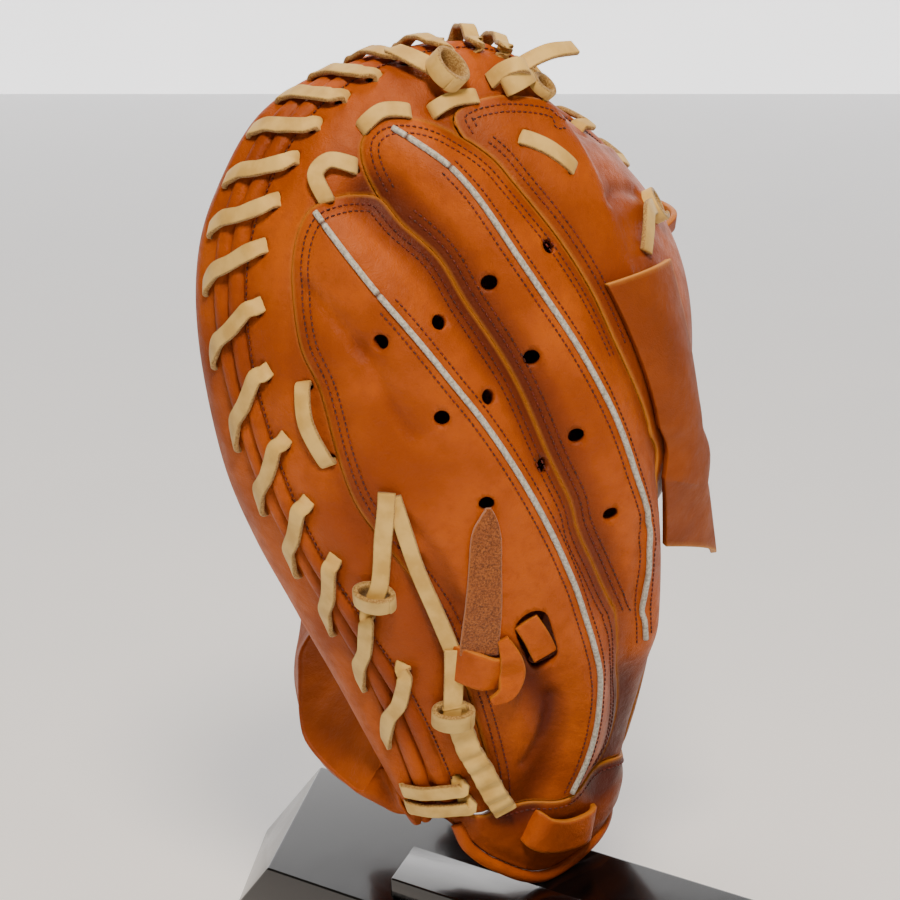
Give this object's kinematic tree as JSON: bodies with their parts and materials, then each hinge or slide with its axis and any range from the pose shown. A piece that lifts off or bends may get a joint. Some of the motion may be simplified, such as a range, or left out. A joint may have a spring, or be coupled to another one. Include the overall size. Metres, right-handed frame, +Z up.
{
  "type": "catcher's mitt on display stand",
  "caption": "Left-hand padded leather catcher's mitt with laced rim, deep ball pocket, finger flap, adjuster strap and hand opening, standing on a low glossy wedge stand.",
  "frame": {"origin": "on the underside of the display stand, below the middle of the mitt", "axes": "+Z up towards the top of the mitt; -Y is the side of the mitt's back; +Y is the way the pocket opens; +X is the thumb side"},
  "size_m": [0.2295, 0.281, 0.3568],
  "materials": {
    "leather": "oiled cowhide, satin, with creases and darker folds",
    "palm_leather": "oiled cowhide, smooth, slightly worn",
    "suede": "napped, matt",
    "lace": "rawhide lace with rough cut edges",
    "piping": "soft grey-white cord covering",
    "stand": "polished, with fine bevelled edges"
  },
  "bodies": {
    "root": {"palm_pad": "palm_leather", "rim_panel": "leather", "ring_finger_stall": "leather", "middle_finger_stall": "leather", "index_panel": "leather", "thumb_panel": "leather", "wrist_band": "leather", "welt_inner": "leather", "welt_outer": "leather", "wrist_binding": "leather", "heel_binding": "leather", "ring_piping": "piping", "middle_piping": "piping", "finger_flap": "leather", "adjuster_strap": "suede", "strap_loop": "leather", "slot_tab": "leather", "keeper_loop": "leather", "rim_lace_01": "lace", "rim_lace_02": "lace", "rim_lace_03": "lace", "rim_lace_04": "lace", "rim_lace_05": "lace", "rim_lace_06": "lace", "rim_lace_07": "lace", "rim_lace_08": "lace", "rim_lace_09": "lace", "rim_lace_10": "lace", "rim_lace_11": "lace", "rim_lace_12": "lace", "rim_lace_13": "lace", "rim_lace_14": "lace", "rim_lace_15": "lace", "rim_lace_16": "lace", "rim_lace_17": "lace", "rim_lace_18": "lace", "rim_lace_19": "lace", "rim_lace_20": "lace", "rim_lace_21": "lace", "rim_lace_22": "lace", "rim_lace_23": "lace", "rim_lace_24": "lace", "accent_lace_top": "lace", "accent_lace_crown": "lace", "accent_lace_rim": "lace", "accent_lace_side": "lace", "accent_lace_index": "lace", "knot_crown": "lace", "knot_web_side": "lace", "knot_thumb_side": "lace", "knot_little_finger": "lace", "heel_lace": "lace", "knot_heel": "lace", "heel_wrap_1": "lace", "heel_wrap_2": "lace", "web_loop": "leather", "web_lace": "lace", "stand_wedge": "stand", "stand_shelf": "stand"}
  },
  "joints": []
}
